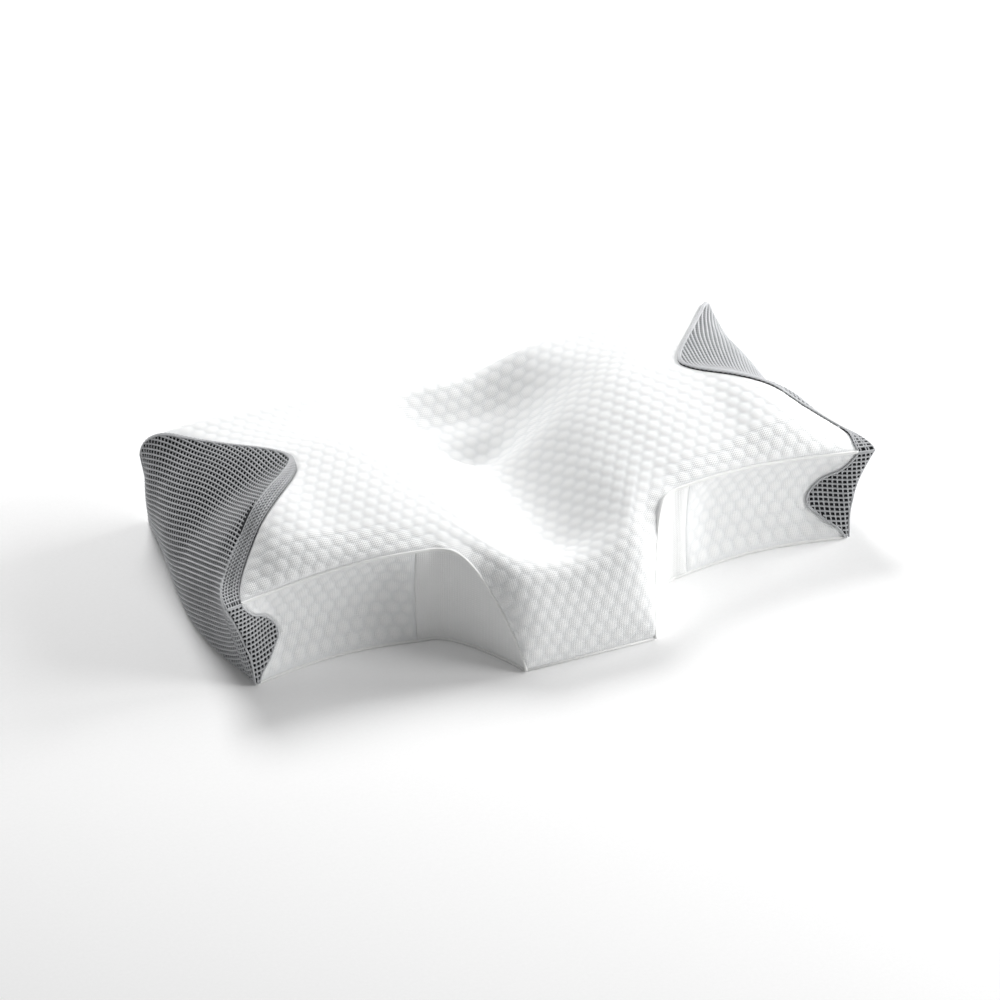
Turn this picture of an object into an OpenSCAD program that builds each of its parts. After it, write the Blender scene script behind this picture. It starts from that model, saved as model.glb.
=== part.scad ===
// Butterfly neck pillow: a contoured foam core in a knitted liner and a zipped two-fabric cover.
// +X is to the sleeper's left, -Y is the side the shoulders come to, +Z is up.
// The origin is on the resting face, in the middle of the plan.

/* [Plan] */
// Half the distance between the two front wing tips
tip_x = 300; // [285:1:315]
// Half width between the bottoms of the two side notches
notch_x = 183; // [175:1:195]
// Half width at the rear corners, along the top edge
corner_x = 268; // [255:1:275]
// Half width of the neck tongue at its front edge
tongue_x = 60; // [50:1:66]
// Front edge of the neck tongue
tongue_y = -172; // [-180:1:-165]
// Front edge of the wings
wing_y = -95; // [-100:1:-90]
// Depth of the shallow arm scoop in each wing
arm_scoop = 10; // [0:1:14]
// Deepest point of the side notches
notch_y = 43; // [38:1:48]

/* [Heights] */
// Height of the front seam at the wing tips
tip_z = 82; // [74:1:86]
// Height of the front seam over the arches beside the tongue
arch_z = 92; // [86:1:96]
// How far the neck channel is sunk between the two domes
channel_depth = 28; // [15:1:32]
// How far the head hollow is sunk behind the neck roll
hollow_depth = 36; // [20:1:40]
// Radius of the roll along the rear edge
rear_roll = 25; // [20:1:28]

/* [Fabrics] */
// Thickness of the quilted knit and the air mesh of the cover
cover_t = 2.4; // [2:0.1:2.6]
// Thickness of the base fabric
base_t = 1.6; // [1.2:0.1:2]
// Thickness of the inner liner
liner_t = 0.8; // [0.5:0.1:0.8]
// Air between the foam, the liner and the cover, over the top and round the sides
fabric_gap = 1; // [0.8:0.1:1.2]
// How far the mesh laps over the left wing's ridge on to the top
lap_left = 20; // [4:1:22]
// How far the mesh laps over the right wing's ridge on to the top
lap_right = 3; // [3:1:22]
// Diameter of the welts
welt_d = 3.2; // [2:0.1:4]

/* [Zipper] */
// Length of the tapes
tape_length = 398; // [380:1:398]
// Height of the middle of the chain
zip_z = 30; // [26:1:34]
// Width of each tape
tape_w = 12; // [10:0.5:14]
// Length of the slider body
slider_length = 12; // [10:0.5:14]
// Length of the pull from its pin to its tip
pull_length = 22; // [16:1:28]

/* [Hidden] */
$fn = 32;
rear_y = 169;

// Rows across the half width, and the heights and depths of the top there:
// where the crest of the neck roll lies, its height, the height behind the front roll,
// and the height in front of the rear roll.
row_x = [0, 40, 85, 130, 185, 215, 240, 262, 285, 300];
crest_y = [62, 60, 52, 42, 34, 10, -10, -25, -50, -70];
crest_z = [104, 106, 112, 119, 120, 122, 117, 101, 87, 84];
front_z = [96, 96, 97, 97, 98, 98, 95, 91, 86, 84];
back_z = [88, 87, 98, 101, 103, 103, 101, 97, 92, 88];

// Half width of the base, against the distance behind the wings' front edge
foot_y = [0, 50, 100, 150, 200, 264];
foot_x = [275, 284, 287, 281, 271, 261];

// Middle control point of the mesh sides' section, beside the notch
bulge_x = 300;
bulge_z = 85;

// The mesh's edge on the front band, against the way down the band
lap_s = [0, 0.22, 0.35, 0.62, 0.8, 0.9, 1];
lap_a = [286, 279, 266, 258, 276, 291, 297];

wing_start = 118;     // the arch ends and the wing's front edge begins
arch_end = 127;       // the plain gusset ends
arch_rise = 100;      // the front seam reaches its full height
fixed_to = 185;       // columns past this one spread up to the mesh seam
tongue_roll = 55;     // front roll of the tongue
wing_roll = 30;       // front roll of the wings
roll_v = 0.16;        // the front roll ends at this share of the way back
rear_v = 0.90;        // the rear roll starts here
waist = 15;           // how far the wings' front bands are drawn in half way up
corner_pull = 7;      // how far the upright corners are drawn in
corner_r = 32;

columns = [0, 20, 40, tongue_x, 63, 70, 80, 92, 106, wing_start, arch_end,
           145, 165, fixed_to, 205, 225, 245, 263, 280, 292, 300];
back = concat([for (i = [0:4]) roll_v * i / 4],
              [for (i = [1:10]) roll_v + (rear_v - roll_v) * i / 10],
              [for (i = [1:3]) rear_v + (1 - rear_v) * i / 3]);
down = [0, 0.2, 0.4, 0.6, 0.8, 1];
last = len(columns) - 1;
wing_first = len([for (c = columns) if (c < tongue_x) c]);

liner_out = cover_t + fabric_gap;
liner_in = liner_out + liner_t;
core_out = liner_in + fabric_gap;
base_gap = 0.2;       // the same gap underneath, where everything is flat
liner_base_z = base_t + base_gap;
liner_top_z = liner_base_z + liner_t;
core_z = liner_top_z + base_gap;
zip_room = 5;         // slack behind the rear band for the zipper's back plate
zip_room_from = 144;  // the slack begins here and is full near the rear wall
zip_room_full = 166;

// Zipper, measured from the tape's outer face
tape_y = 165.9;
tape_t = 0.6;
coil_d = 2;
chain_gap = 1.8;      // slot between the two coils that the slider's web runs in
coil_end = 190;
gap_half = 7;         // half the height of the slot between the rear bands
plate_t = 1;
plate_h = 10.5;
pin_y = tape_y + 4.9;
pin_r = 0.6;
eye_r = 1.3;
pin_clear = 0.3;
slider_x = coil_end - slider_length / 2 - 0.6;
pin_x = slider_x + 2;

// ---- small helpers ----
function clamp(t, low, high) = max(low, min(high, t));
function share(t, a, b) = clamp((t - a) / (b - a), 0, 1);
function ease(t, a, b) = let (k = share(t, a, b)) k * k * (3 - 2 * k);

// Smooth curve through stations (xs, ys), level at the first one
function slope(xs, ys, i) = i == 0 ? 0
    : let (b = min(i + 1, len(xs) - 1)) (ys[b] - ys[i - 1]) / (xs[b] - xs[i - 1]);
function station(xs, t) = max([for (i = [0:len(xs) - 2]) if (i == 0 || t >= xs[i]) i]);
function curve(xs, ys, x) = let (
        t = clamp(x, xs[0], xs[len(xs) - 1]), i = station(xs, t),
        h = xs[i + 1] - xs[i], k = (t - xs[i]) / h)
    (2 * k ^ 3 - 3 * k ^ 2 + 1) * ys[i] + (k ^ 3 - 2 * k ^ 2 + k) * h * slope(xs, ys, i)
    + (3 * k ^ 2 - 2 * k ^ 3) * ys[i + 1] + (k ^ 3 - k ^ 2) * h * slope(xs, ys, i + 1);

// ---- shape of the pillow ----
// Half width of the top edge at depth y: out to the tip, in to the notch, out to the corner
function ridge_x(y) = let (soft = 0.12, t = share(y, notch_y, rear_y)) y < notch_y
    ? notch_x + (tip_x - notch_x) * sin(90 * share(-y, -notch_y, -wing_y)) ^ 1.4
    : notch_x + (corner_x - notch_x) * (sqrt(t ^ 2 + soft ^ 2) - soft) / (sqrt(1 + soft ^ 2) - soft);

// Front edge in plan: straight tongue, hollow arch, shallow arm scoop
function front_y(a) = a <= tongue_x ? tongue_y
    : a < wing_start
    ? tongue_y + (wing_y - tongue_y) * sin(90 * share(a, tongue_x, wing_start)) ^ 0.9
    : wing_y + arm_scoop * sin(180 * share(a, wing_start, 300));

// Height of the front seam: on the base along the tongue, then up over the arch
function seam_z(a) = base_t - (arch_z - tip_z) * ease(a, 120, 300)
    + (a <= tongue_x ? 0 : (arch_z - base_t) * sin(90 * share(a, tongue_x, arch_rise)) ^ 0.75);

// Height of the top, before its front and rear edges roll down
function top_z(x, y) = let (
        a = abs(x), cy = curve(row_x, crest_y, a), cz = curve(row_x, crest_z, a),
        rise = sin(90 * clamp((y - wing_y) / (cy - wing_y), -0.6, 1)),
        fz = curve(row_x, front_z, a), bz = curve(row_x, back_z, a))
    (y < cy ? fz + (cz - fz) * rise : cz + (bz - cz) * ease(y, cy, rear_y - rear_roll))
    - channel_depth * exp(-(x / 50) ^ 2) * ease(y, -175, -90) * (1 - ease(y, 50, 110))
    - hollow_depth * exp(-((x / 92) ^ 2 + ((y - 92) / 48) ^ 2) ^ 1.4);

// Point of the top: u from -1 to 1 across, v from 0 at the front seam to 1 at the rear seam
function top(u, v) = let (
        a = abs(u) * 300, roll = tongue_roll + (wing_roll - tongue_roll) * ease(a, 60, 140),
        up = 90 * share(v, 0, roll_v), over = 90 * share(v, rear_v, 1),
        y1 = front_y(a) + roll, y2 = rear_y - rear_roll,
        y = v < roll_v ? y1 - roll * cos(up)
            : v < rear_v ? y1 + (y2 - y1) * share(v, roll_v, rear_v)
            : y2 + rear_roll * sin(over),
        x = u * ridge_x(y), z0 = seam_z(a))
    [x, y, z0 + (top_z(x, y) - z0) * sin(up) - rear_roll * (1 - cos(over))];

// Draws an upright corner in, d away from it and s of the way down; side is -1 at the front
function drawn_in(d, s, side) = let (k = max(0, 1 - d / corner_r))
    corner_pull * k * k * sin(180 * s) * [-0.7, -0.7 * side, 0];

// Point of the right mesh side: v along the ridge, s from 0 at the ridge to 1 at the base
function mesh_side(v, s) = let (
        r = top(1, v), y = r.y, t = share(y, wing_y, rear_y),
        foot = [curve(foot_y, foot_x, y - wing_y), y - 3 * (1 - share(y, wing_y, wing_y + 60)), base_t],
        mid = (r + foot) / 2, bow = sin(180 * t ^ 0.85) ^ 0.7,
        swell = [bulge_x + 15 * ease(t, 0.5, 0.8), y, bulge_z + 5 * ease(t, 0.5, 0.8)],
        hip = mid + bow * (swell - mid) + [8 * ease(t, 0.8, 1), 0, 0])
    (1 - s) ^ 2 * r + 2 * s * (1 - s) * hip + s ^ 2 * foot
    + drawn_in(y - wing_y, s, -1) + drawn_in(rear_y - y, s, 1);

// Point of the front, right half: a along the front edge, s down from the seam to the base
function front(a, s) = let (
        p = top(a / 300, 0), far = share(a, wing_start, 300),
        foot = [a < wing_start ? a : wing_start + (foot_x[0] - wing_start) * far,
                p.y - 3 * ease(a, wing_start, 300), base_t],
        hollow = waist * ease(a, 110, 160) * (1 - ease(a, 255, 300)))
    (1 - s) * p + s * foot + [0, hollow * 4 * s * (1 - s), 0] + drawn_in(300 - a, s, -1);

// Point of the rear, right half: a as on the top, z given as a share s down from the rear seam
function rear_top(a) = top(a / 300, 1);
function rear(a, z) = let (
        p = rear_top(a), s = 1 - share(z, base_t, p.z), foot = a / 300 * foot_x[len(foot_x) - 1],
        hip = (p.x + foot) / 2 + a / 300 * 8)
    [(1 - s) ^ 2 * p.x + 2 * s * (1 - s) * hip + s ^ 2 * foot, p.y, z]
    + drawn_in(corner_x - p.x, s, 1);

function flipped(p) = [-p.x, p.y, p.z];

// How far the mesh laps on to the top, at depth y
function lap(y, wide) = curve([wing_y, -60, -20, 20, notch_y + 1, rear_y],
    [300 - lap_a[0], wide - 2, wide, 2 + 0.55 * (wide - 2), 2, 2], y);
function top_edge(v, wide) = let (p = top(1, v)) 300 * (1 - lap(p.y, wide) / p.x);

// Column i of a grid: past fixed_to they squeeze up to the mesh seam at edge,
// and two more lie across the lap beyond it
function column(i, edge) = i > last ? edge + (300 - edge) * (i - last) / 2
    : columns[i] <= fixed_to ? columns[i]
    : fixed_to + (columns[i] - fixed_to) * (edge - fixed_to) / (300 - fixed_to);
function crown(i, v) = top(sign(i) * column(abs(i), top_edge(v, i < 0 ? lap_left : lap_right)) / 300, v);
function brow(i, s) = front(column(i, curve(lap_s, lap_a, s)), s);
// Point of the rear at column i, a share s of the way down from the rear seam
function tail(i, s) = let (
        a = column(abs(i), top_edge(1, lap_right)), z = rear_top(a).z, p = rear(a, z + (base_t - z) * s))
    i < 0 ? flipped(p) : p;

// A layer d inside the surface; nothing of it lies under low
function inside(p, d, low) = let (q = p - d * [clamp(p.x / 180, -1, 1), clamp(p.y / 90, -1, 1),
                                              share(p.z, base_t, base_t + 25)])
    [q.x, q.y, max(q.z, low)];
// How far the foam and the liner stand back from the rear wall, at depth y
function slack(y) = zip_room * ease(y, zip_room_from, zip_room_full);
function drawn_back(p, by) = [p.x - 0.7 * by * clamp(p.x / 180, -1, 1), p.y - by, p.z];

// ---- grids to solids ----
// Triangles of a grid of n rows of m points, numbered from first; none is left flat
function tiles(pts, n, m, first, turn) = [
    for (i = [0:n - 2], j = [0:m - 2]) let (
        a = first + i * m + j, b = a + 1, c = a + m, d = c + 1)
    for (t = turn ? [[a, c, b], [b, c, d]] : [[a, b, c], [b, d, c]])
    if (pts[t[0]] != pts[t[1]] && pts[t[1]] != pts[t[2]] && pts[t[2]] != pts[t[0]]) t];
function joined(lists) = [for (l = lists) each l];

// An order of points along a seam, the same for both panels that meet there
function rank(p) = p.y + 0.37 * p.z + 0.11 * abs(p.x);

// A fabric panel: a grid of points and its copy cover_t inside, closed round the edges
module panel(grid, turn = false) {
    n = len(grid);
    m = len(grid[0]);
    outer = joined(grid);
    inner = [for (p = outer) inside(p, cover_t, base_t)];
    rim = concat([for (j = [0:m - 1]) j], [for (i = [1:n - 1]) i * m + m - 1],
                 [for (j = [m - 2:-1:0]) (n - 1) * m + j], [for (i = [n - 2:-1:1]) i * m]);
    ring = len(rim);
    pts = concat(outer, inner);
    walls = [for (k = [0:ring - 1]) let (
            a = rim[k], b = rim[(k + 1) % ring], c = a + n * m, d = b + n * m,
            pair = rank(pts[a]) < rank(pts[b]) ? [[a, d, b], [a, c, d]] : [[a, c, b], [b, c, d]])
        for (q = pair) let (t = turn ? [q[0], q[2], q[1]] : q)
        if (pts[t[0]] != pts[t[1]] && pts[t[1]] != pts[t[2]] && pts[t[2]] != pts[t[0]]) t];
    polyhedron(pts,
        concat(tiles(pts, n, m, 0, turn), tiles(pts, n, m, n * m, !turn), walls), convexity = 8);
}

// The walls and top of the body, d inside the cover's surface, down to z = low:
// its points, its triangles and the points of its open bottom edge
function skin(d, low) = let (
        at = function (p) drawn_back(inside(p, d, low), slack(p.y)),
        wide = last + 2, ends = len(down) - 1, deep = len(back) - 2,
        lid = [for (i = [-last:wide]) [for (v = back) at(crown(i, v))]],
        left_lap = [for (v = back) [for (i = [last:wide]) at(crown(-i, v))]],
        right = [for (v = back) [for (s = down) at(mesh_side(v, s))]],
        nose = [for (i = [wing_first:wide]) [for (s = down) at(brow(i, s))]],
        rear = [for (i = [-wide:wide]) [for (s = down) at(tail(i, s))]],
        left = [for (r = right) [for (p = r) flipped(p)]],
        left_nose = [for (r = nose) [for (p = r) flipped(p)]],
        grids = [lid, left_lap, right, left, nose, left_nose, rear],
        turns = [false, false, true, false, true, false, false],
        starts = [for (k = [0:len(grids) - 1]) k == 0 ? 0
            : len(joined([for (g = [0:k - 1]) joined(grids[g])]))],
        pts = joined([for (g = grids) joined(g)]),
        faces = joined([for (k = [0:len(grids) - 1])
            tiles(pts, len(grids[k]), len(grids[k][0]), starts[k], turns[k])]),
        loop = concat([for (i = [len(nose) - 1:-1:0]) left_nose[i][ends]],
                      [for (i = [1 - wing_first:wing_first - 1]) at(crown(i, 0))],
                      [for (r = nose) r[ends]],
                      [for (i = [1:deep]) right[i][ends]],
                      [for (i = [len(rear) - 1:-1:0]) rear[i][ends]],
                      [for (i = [deep:-1:1]) left[i][ends]]))
    [pts, faces, loop];

// A solid block under that skin
module block(d, low) {
    s = skin(d, low);
    n = len(s[0]);
    polyhedron(concat(s[0], s[2]), concat(s[1], [[for (i = [0:len(s[2]) - 1]) n + i]]), convexity = 8);
}

// A sleeve between two such skins, open underneath
module sleeve(outer_d, inner_d, low) {
    outer = skin(outer_d, low);
    inner = skin(inner_d, low);
    n = len(outer[0]);
    m = len(outer[2]);
    rim = 2 * n;
    polyhedron(concat(outer[0], inner[0], outer[2], inner[2]),
        concat(outer[1], [for (t = inner[1]) [n + t[2], n + t[1], n + t[0]]],
               [for (k = [0:m - 1]) let (a = rim + k, b = rim + (k + 1) % m)
                   each [[a, b, a + m], [b, b + m, a + m]]]),
        convexity = 10);
}

// Outline of the base, d inside the cover's surface
function base_outline(d) = let (
        lay = function (p) let (q = inside(p, d, 0)) [q.x, q.y],
        half = [for (c = columns) if (c >= tongue_x) lay(front(c, 1))],
        flank = [for (i = [1:len(back) - 2]) lay(mesh_side(back[i], 1))],
        tail = [for (i = [len(columns) - 1:-1:1]) lay(rear(columns[i], base_t))],
        side = concat(half, flank, tail))
    concat(side, [for (i = [len(side) - 1:-1:0]) [-side[i].x, side[i].y]]);

// A round cord through points, as rings square to its run
module cord(path, r, closed = false) {
    sides = 6;
    n = len(path);
    function prev(i) = path[closed ? (i + n - 1) % n : max(i - 1, 0)];
    function next(i) = path[closed ? (i + 1) % n : min(i + 1, n - 1)];
    function unit(v) = v / norm(v);
    rings = [for (i = [0:n - 1]) let (
            t = unit(next(i) - prev(i)), b = unit(cross(t, [0.1, 0.2, 1])), c = cross(b, t))
        [for (k = [0:sides]) path[i] + r * (cos(360 * k / sides) * b + sin(360 * k / sides) * c)]];
    run = closed ? concat(rings, [rings[0]]) : rings;
    pts = joined(run);
    caps = closed ? [] : [[for (k = [sides - 1:-1:0]) k],
                          [for (k = [0:sides - 1]) (n - 1) * (sides + 1) + k]];
    polyhedron(pts, concat(tiles(pts, len(run), sides + 1, 0, false), caps), convexity = 6);
}

// ---- foam and liner ----
module foam_core() {
    color("cornsilk") block(core_out, core_z);
}

module liner_body() {
    color("white") sleeve(liner_out, liner_in, liner_top_z);
}

module liner_base() {
    color("white") translate([0, 0, liner_base_z]) linear_extrude(liner_t)
        polygon([for (p = base_outline(liner_out))
            let (q = drawn_back([p.x, p.y, 0], slack(p.y))) [q.x, q.y]]);
}

// ---- cover ----
module cover_top() {
    color("whitesmoke") panel([for (i = [-last:last]) [for (v = back) crown(i, v)]]);
}

module cover_base() {
    color("gainsboro") linear_extrude(base_t) polygon(base_outline(0));
}

module front_panel(from, to) {
    panel([for (i = [0:last]) if (columns[i] >= from && columns[i] <= to)
        [for (s = down) brow(i, s)]], true);
}

module front_band_right() {
    color("whitesmoke") front_panel(arch_end, 300);
}

module front_band_left() {
    color("whitesmoke") mirror([1, 0, 0]) front_panel(arch_end, 300);
}

module arch_gusset_right() {
    color("white") front_panel(tongue_x, arch_end);
}

module arch_gusset_left() {
    color("white") mirror([1, 0, 0]) front_panel(tongue_x, arch_end);
}

// The mesh side, with its lap over the ridge and its wrap round the front corner
module mesh_panel(wide) {
    panel([for (v = back)
        concat([for (i = [last:last + 1]) top(column(i, top_edge(v, wide)) / 300, v)],
               [for (s = down) mesh_side(v, s)])], true);
    panel([for (i = [last:last + 2]) [for (s = down) brow(i, s)]], true);
}

module mesh_side_right() {
    color("darkgray") mesh_panel(lap_right);
}

module mesh_side_left() {
    color("darkgray") mirror([1, 0, 0]) mesh_panel(lap_left);
}

// Half the height of the zipper's slot at column a
function slot(a) = gap_half * (1 - ease(a, 225, 245));

module rear_panel(upper) {
    panel([for (i = [-last - 2:last + 2]) let (
            a = column(abs(i), top_edge(1, lap_right)),
            high = upper ? rear_top(a).z : zip_z - slot(a), low = upper ? zip_z + slot(a) : base_t)
        [for (k = [0:2]) let (p = rear(a, high + (low - high) * k / 2)) i < 0 ? flipped(p) : p]]);
}

module rear_band_upper() {
    color("whitesmoke") rear_panel(true);
}

module rear_band_lower() {
    color("whitesmoke") rear_panel(false);
}

module front_welt() {
    cord([for (i = [wing_first:last]) brow(i, 0)], welt_d / 2);
}

module front_welt_right() {
    color("white") front_welt();
}

module front_welt_left() {
    color("white") mirror([1, 0, 0]) front_welt();
}

module base_welt() {
    color("white") cord([for (p = base_outline(0)) [p.x, p.y, welt_d / 2]], welt_d / 2, true);
}

// ---- zipper ----
// side is 1 above the chain and -1 below it
module tape(side) {
    low = side > 0 ? chain_gap / 2 : -chain_gap / 2 - tape_w;
    color("white") translate([-tape_length / 2, tape_y - tape_t, zip_z + low])
        cube([tape_length, tape_t, tape_w]);
}

module coil(side) {
    color("white") translate([-coil_end, tape_y + coil_d / 2, zip_z + side * (chain_gap + coil_d) / 2])
        rotate([0, 90, 0]) cylinder(d = coil_d, h = 2 * coil_end);
}

module top_stop(side) {
    stop = [2.4, 2.4, 2.6];
    bottom = side * (chain_gap + stop.z) / 2 - stop.z / 2;
    color("silver") translate([coil_end + 0.1, tape_y, zip_z + bottom])
        cube(stop);
}

module zipper_bottom_stop() {
    stop = [3, 2.4, 8];
    color("silver") translate([-coil_end - stop.x - 0.1, tape_y, zip_z - stop.z / 2]) cube(stop);
}

module zipper_slider() {
    web_t = 1.2;
    front_face = tape_y + coil_d + 0.3;
    back_face = tape_y - tape_t - 0.3;
    lug = [3, pin_y - front_face, 1.4];
    lug_gap = 4.4;
    color("silver") {
        translate([slider_x - slider_length / 2, front_face, zip_z - plate_h / 2])
            cube([slider_length, plate_t, plate_h]);
        translate([slider_x - slider_length / 2, back_face - plate_t, zip_z - plate_h / 2])
            cube([slider_length, plate_t, plate_h]);
        translate([slider_x - 1, back_face - plate_t, zip_z - web_t / 2])
            cube([4, front_face - back_face + 2 * plate_t, web_t]);
        for (side = [-1, 1]) {
            translate([pin_x - lug.x / 2, front_face, zip_z + side * (lug_gap + lug.z) / 2 - lug.z / 2])
                cube(lug);
            translate([pin_x, pin_y, zip_z + side * (lug_gap + lug.z) / 2 - lug.z / 2])
                cylinder(d = lug.x, h = lug.z);
        }
        translate([pin_x, pin_y, zip_z - lug_gap / 2 - lug.z / 2])
            cylinder(r = pin_r, h = lug_gap + lug.z);
    }
}

module zipper_pull() {
    eye_h = 3.8;
    blade_t = 1.2;
    blade_h = 6;
    tip_r = 2.2;
    color("silver") difference() {
        union() {
            translate([pin_x, pin_y, zip_z - eye_h / 2]) cylinder(r = eye_r, h = eye_h);
            translate([pin_x - 4, pin_y - blade_t / 2, zip_z - eye_h / 2]) cube([4, blade_t, eye_h]);
            translate([pin_x - pull_length, pin_y - blade_t / 2, zip_z - blade_h / 2])
                cube([pull_length - 4, blade_t, blade_h]);
        }
        translate([pin_x, pin_y, zip_z - eye_h]) cylinder(r = pin_r + pin_clear, h = 2 * eye_h);
        translate([pin_x - pull_length + 4, pin_y + 2, zip_z]) rotate([90, 0, 0])
            cylinder(r = tip_r / 2, h = 4);
    }
}

foam_core();
liner_body();
liner_base();
cover_top();
cover_base();
front_band_left();
front_band_right();
arch_gusset_left();
arch_gusset_right();
mesh_side_left();
mesh_side_right();
rear_band_upper();
rear_band_lower();
front_welt_left();
front_welt_right();
base_welt();
tape(1);  // zipper_tape_upper
tape(-1);  // zipper_tape_lower
coil(1);  // zipper_coil_upper
coil(-1);  // zipper_coil_lower
top_stop(1);  // zipper_top_stop_upper
top_stop(-1);  // zipper_top_stop_lower
zipper_bottom_stop();
zipper_slider();
zipper_pull();
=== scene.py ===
"""Butterfly neck pillow: a foam core in a jersey liner and a zipped cover of quilted knit and air mesh.

Every cover panel is a grid of points on the same surface as the CAD part, taken finer, quilted or
plain, with its edges tucked into the seams. The surface is worked out in millimetres and turned to
metres at the end.
"""
import math
import bmesh
import bpy
import numpy as np
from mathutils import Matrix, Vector


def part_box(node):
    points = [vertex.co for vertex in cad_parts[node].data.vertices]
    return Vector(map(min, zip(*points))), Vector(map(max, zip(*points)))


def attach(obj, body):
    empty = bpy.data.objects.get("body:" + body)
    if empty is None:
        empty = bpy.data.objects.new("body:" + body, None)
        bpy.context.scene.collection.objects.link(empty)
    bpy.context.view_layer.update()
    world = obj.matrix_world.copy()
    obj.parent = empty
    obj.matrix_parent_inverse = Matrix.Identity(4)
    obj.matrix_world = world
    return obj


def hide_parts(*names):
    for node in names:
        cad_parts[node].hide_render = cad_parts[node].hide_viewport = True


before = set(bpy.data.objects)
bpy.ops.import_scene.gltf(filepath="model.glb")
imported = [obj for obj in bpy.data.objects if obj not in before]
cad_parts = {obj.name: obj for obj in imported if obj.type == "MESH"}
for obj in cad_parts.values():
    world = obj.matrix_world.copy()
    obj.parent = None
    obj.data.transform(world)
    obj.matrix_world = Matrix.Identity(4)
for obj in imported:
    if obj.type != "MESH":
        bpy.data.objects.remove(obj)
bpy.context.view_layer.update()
MM = 0.001

# ---- the pillow's driving sizes, in millimetres, as in the part's source ----
TIP_X, NOTCH_X, CORNER_X, TONGUE_X = 300, 183, 268, 60
TONGUE_Y, WING_Y, REAR_Y, NOTCH_Y = -172, -95, 169, 43
ARM_SCOOP, TIP_Z, ARCH_Z = 10, 82, 92
CHANNEL_DEPTH, HOLLOW_DEPTH, REAR_ROLL = 28, 36, 25
COVER_T, BASE_T, LINER_T, FABRIC_GAP, BASE_GAP = 2.4, 1.6, 0.8, 1.0, 0.2
LAP_LEFT, LAP_RIGHT = 20, 3
ZIP_Z, ZIP_ROOM, GAP_HALF = 30, 5, 7
WING_START, ARCH_END, ARCH_RISE, FIXED_TO = 118, 127, 100, 185
TONGUE_ROLL, WING_ROLL, ROLL_V, REAR_V = 55, 30, 0.16, 0.90
WAIST, CORNER_PULL, CORNER_R = 15, 7, 32
BULGE_X, BULGE_Z = 300, 85
ROW_X = [0, 40, 85, 130, 185, 215, 240, 262, 285, 300]
CREST_Y = [62, 60, 52, 42, 34, 10, -10, -25, -50, -70]
CREST_Z = [104, 106, 112, 119, 120, 122, 117, 101, 87, 84]
FRONT_Z = [96, 96, 97, 97, 98, 98, 95, 91, 86, 84]
BACK_Z = [88, 87, 98, 101, 103, 103, 101, 97, 92, 88]
FOOT_Y = [0, 50, 100, 150, 200, 264]
FOOT_X = [275, 284, 287, 281, 271, 261]
LAP_S = [0, 0.22, 0.35, 0.62, 0.8, 0.9, 1]
LAP_A = [286, 279, 266, 258, 276, 291, 297]

# ---- the fabrics, in millimetres ----
CELL = 12.4              # pitch of the quilted knit's hexagons
CELL_LIFT = 0.62         # how far a cell stands above its grooves
TUCK = 0.8               # how far a panel's edge sinks into its seam
TUCK_W = 2.4             # width of that sunk edge
FADE_W = 5.0             # the cells come up over this distance from a seam
NET_COURSE = 4.3         # pitch of the air mesh's rows
NET_WALE = 3.7           # pitch of the air mesh's columns
LONGEST_STRAND = 6       # a row of the net breaks off where its next step would be longer
WELT_R, BINDING_R = 1.35, 1.3


# ================= shape of the pillow =================
def share(t, a, b):
    return np.clip((t - a) / (b - a), 0, 1)


def ease(t, a, b):
    k = share(t, a, b)
    return k * k * (3 - 2 * k)


def sind(t):
    return np.sin(np.radians(t))


def cosd(t):
    return np.cos(np.radians(t))


def curve(xs, ys, x):
    """Smooth curve through stations (xs, ys), level at the first one."""
    xs, ys = np.asarray(xs, float), np.asarray(ys, float)
    last = len(xs) - 1
    after = np.minimum(np.arange(len(xs)) + 1, last)
    before = np.maximum(np.arange(len(xs)) - 1, 0)
    slope = (ys[after] - ys[before]) / (xs[after] - xs[before])
    slope[0] = 0
    t = np.clip(x, xs[0], xs[-1])
    i = np.clip(np.searchsorted(xs, t, side="right") - 1, 0, last - 1)
    h = xs[i + 1] - xs[i]
    k = (t - xs[i]) / h
    return ((2 * k ** 3 - 3 * k ** 2 + 1) * ys[i] + (k ** 3 - 2 * k ** 2 + k) * h * slope[i]
            + (3 * k ** 2 - 2 * k ** 3) * ys[i + 1] + (k ** 3 - k ** 2) * h * slope[i + 1])


def ridge_x(y):
    """Half width of the top edge at depth y: out to the tip, in to the notch, out to the corner."""
    soft = 0.12
    t = share(y, NOTCH_Y, REAR_Y)
    to_tip = NOTCH_X + (TIP_X - NOTCH_X) * sind(90 * share(-y, -NOTCH_Y, -WING_Y)) ** 1.4
    bend = (np.sqrt(t ** 2 + soft ** 2) - soft) / (math.hypot(1, soft) - soft)
    to_corner = NOTCH_X + (CORNER_X - NOTCH_X) * bend
    return np.where(y < NOTCH_Y, to_tip, to_corner)


def front_y(a):
    """Front edge in plan: straight tongue, hollow arch, shallow arm scoop."""
    arch = TONGUE_Y + (WING_Y - TONGUE_Y) * sind(90 * share(a, TONGUE_X, WING_START)) ** 0.9
    wing = WING_Y + ARM_SCOOP * sind(180 * share(a, WING_START, 300))
    return np.where(a <= TONGUE_X, TONGUE_Y, np.where(a < WING_START, arch, wing))


def seam_z(a):
    """Height of the front seam: on the base along the tongue, then up over the arch."""
    rise = (ARCH_Z - BASE_T) * sind(90 * share(a, TONGUE_X, ARCH_RISE)) ** 0.75
    return BASE_T - (ARCH_Z - TIP_Z) * ease(a, 120, 300) + np.where(a <= TONGUE_X, 0, rise)


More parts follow.
